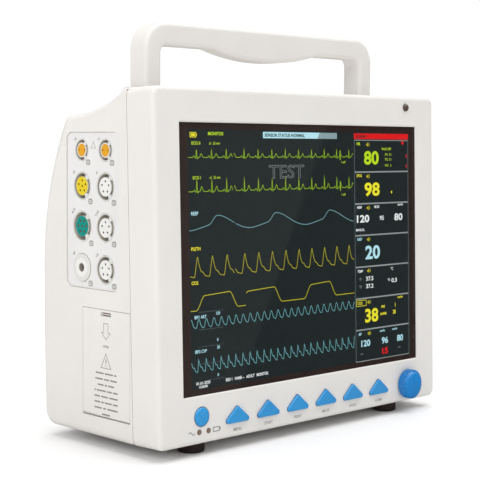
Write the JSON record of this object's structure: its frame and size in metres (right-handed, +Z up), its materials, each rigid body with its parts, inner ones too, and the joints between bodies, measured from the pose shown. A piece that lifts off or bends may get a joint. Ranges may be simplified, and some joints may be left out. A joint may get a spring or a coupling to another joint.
{
  "type": "patient monitor",
  "caption": "Bedside patient monitor with a wide front display, triangular keys and a rotary dial, round lead sockets on one side, side doors and a folding top handle.",
  "frame": {"origin": "centre of the footprint on the surface that the feet stand on", "axes": "+X to the viewer's right, -Y out of the screen towards the viewer, +Z up"},
  "size_m": [0.312, 0.1476, 0.3125],
  "materials": {
    "case_plastic": "fine-grained moulded off-white plastic",
    "panel_plastic": "smooth light grey plastic",
    "glass": "glossy, dark printed border",
    "foam": "black closed-cell foam",
    "display": "dark lit display",
    "sheet_steel": "zinc-plated sheet",
    "steel": "nickel-plated",
    "blue_plastic": "satin sky-blue plastic",
    "circuit_board": "green solder mask",
    "black_plastic": "black moulded plastic",
    "smoked_lens": "smoked clear plastic",
    "lamp_lens": "taupe translucent plastic",
    "rubber": "matte dark rubber",
    "brass": "turned brass",
    "aluminium": "extruded",
    "battery_wrap": "dark blue shrink wrap",
    "paper": "thermal paper",
    "label": "blank silver-grey foil label",
    "white_socket": "white moulded plastic",
    "yellow_socket": "yellow moulded plastic",
    "orange_socket": "orange moulded plastic",
    "green_socket": "green moulded plastic"
  },
  "bodies": {
    "case": {"ac_inlet": "black_plastic", "battery_bay": "black_plastic", "battery_pack": "battery_wrap", "board_standoffs": "brass", "case_screws": "steel", "chassis_plate": "sheet_steel", "connector_plate": "sheet_steel", "door_pins": "steel", "ecg_socket": "green_socket", "encoder_body": "steel", "foot_screws": "steel", "front_housing": "case_plastic", "fuse_caps": "black_plastic", "ground_stud": "steel", "handle_pins": "steel", "heat_sink": "aluminium", "ibp_socket_1": "white_socket", "ibp_socket_2": "yellow_socket", "indicator_leds": "lamp_lens", "keypad_board": "circuit_board", "lcd_bracket": "sheet_steel", "lcd_panel": "display", "main_board": "circuit_board", "mount_inserts": "brass", "network_jack": "steel", "nibp_port": "white_socket", "nibp_pump": "black_plastic", "parameter_board": "circuit_board", "port_panel": "panel_plastic", "power_board": "circuit_board", "rating_plate": "label", "rear_case": "case_plastic", "recorder_frame": "black_plastic", "resp_socket": "white_socket", "rubber_feet": "rubber", "screen_gasket": "foam", "screen_glass": "glass", "speaker": "black_plastic", "spo2_socket": "white_socket", "status_lens": "smoked_lens", "tact_switches": "black_plastic", "temp_socket_1": "orange_socket", "temp_socket_2": "orange_socket", "video_port": "steel"},
    "handle": {"handle": "case_plastic"},
    "battery_door": {"battery_door": "case_plastic"},
    "recorder_door": {"recorder_door": "case_plastic"},
    "platen": {"platen_roller": "rubber"},
    "paper_roll": {"paper_roll": "paper"},
    "dial_push": {"push_plunger": "steel"},
    "dial": {"encoder_shaft": "steel", "knob": "blue_plastic"},
    "power_button": {"power_button": "blue_plastic"},
    "menu_key": {"menu_key": "blue_plastic"},
    "start_key": {"start_key": "blue_plastic"},
    "record_key": {"record_key": "blue_plastic"},
    "silence_key": {"silence_key": "blue_plastic"},
    "freeze_key": {"freeze_key": "blue_plastic"},
    "main_key": {"main_key": "blue_plastic"}
  },
  "joints": [
    {"name": "menu_key_press", "type": "slide", "parent": "case", "child": "menu_key", "axis": [0, 0.9995, -0.0304], "range_m": [0, 0.001], "stiffness_N_per_m": 1500},
    {"name": "start_key_press", "type": "slide", "parent": "case", "child": "start_key", "axis": [0, 0.9995, -0.0304], "range_m": [0, 0.001], "stiffness_N_per_m": 1500},
    {"name": "record_key_press", "type": "slide", "parent": "case", "child": "record_key", "axis": [0, 0.9995, -0.0304], "range_m": [0, 0.001], "stiffness_N_per_m": 1500},
    {"name": "silence_key_press", "type": "slide", "parent": "case", "child": "silence_key", "axis": [0, 0.9995, -0.0304], "range_m": [0, 0.001], "stiffness_N_per_m": 1500},
    {"name": "freeze_key_press", "type": "slide", "parent": "case", "child": "freeze_key", "axis": [0, 0.9995, -0.0304], "range_m": [0, 0.001], "stiffness_N_per_m": 1500},
    {"name": "main_key_press", "type": "slide", "parent": "case", "child": "main_key", "axis": [0, 0.9995, -0.0304], "range_m": [0, 0.001], "stiffness_N_per_m": 1500},
    {"name": "power_button_press", "type": "slide", "parent": "case", "child": "power_button", "axis": [0, 0.9995, -0.0304], "range_m": [0, 0.001], "stiffness_N_per_m": 1500},
    {"name": "dial_press", "type": "slide", "parent": "case", "child": "dial_push", "axis": [0, 0.9995, -0.0304], "range_m": [0, 0.0005], "stiffness_N_per_m": 4000},
    {"name": "dial_spin", "type": "hinge", "parent": "dial_push", "child": "dial", "pos_m": [0.118, -0.06478, 0.02386], "axis": [0, 0.9995, -0.0304], "continuous": true},
    {"name": "handle_fold", "type": "hinge", "parent": "case", "child": "handle", "pos_m": [0, -0.00462, 0.259], "axis": [-1, 0, 0], "range_deg": [0, 90]},
    {"name": "battery_door_hinge", "type": "hinge", "parent": "case", "child": "battery_door", "pos_m": [-0.1534, -0.00542, 0.0265], "axis": [0, -1, 0], "range_deg": [0, 90]},
    {"name": "recorder_door_hinge", "type": "hinge", "parent": "case", "child": "recorder_door", "pos_m": [0.1534, 0.01278, 0.1206], "axis": [0, 1, 0], "range_deg": [0, 90]},
    {"name": "platen_spin", "type": "hinge", "parent": "recorder_door", "child": "platen", "pos_m": [0.1482, 0.01278, 0.182], "axis": [0, 1, 0], "continuous": true},
    {"name": "paper_roll_spin", "type": "hinge", "parent": "case", "child": "paper_roll", "pos_m": [0.1166, 0.01278, 0.1438], "axis": [0, 1, 0], "continuous": true}
  ]
}
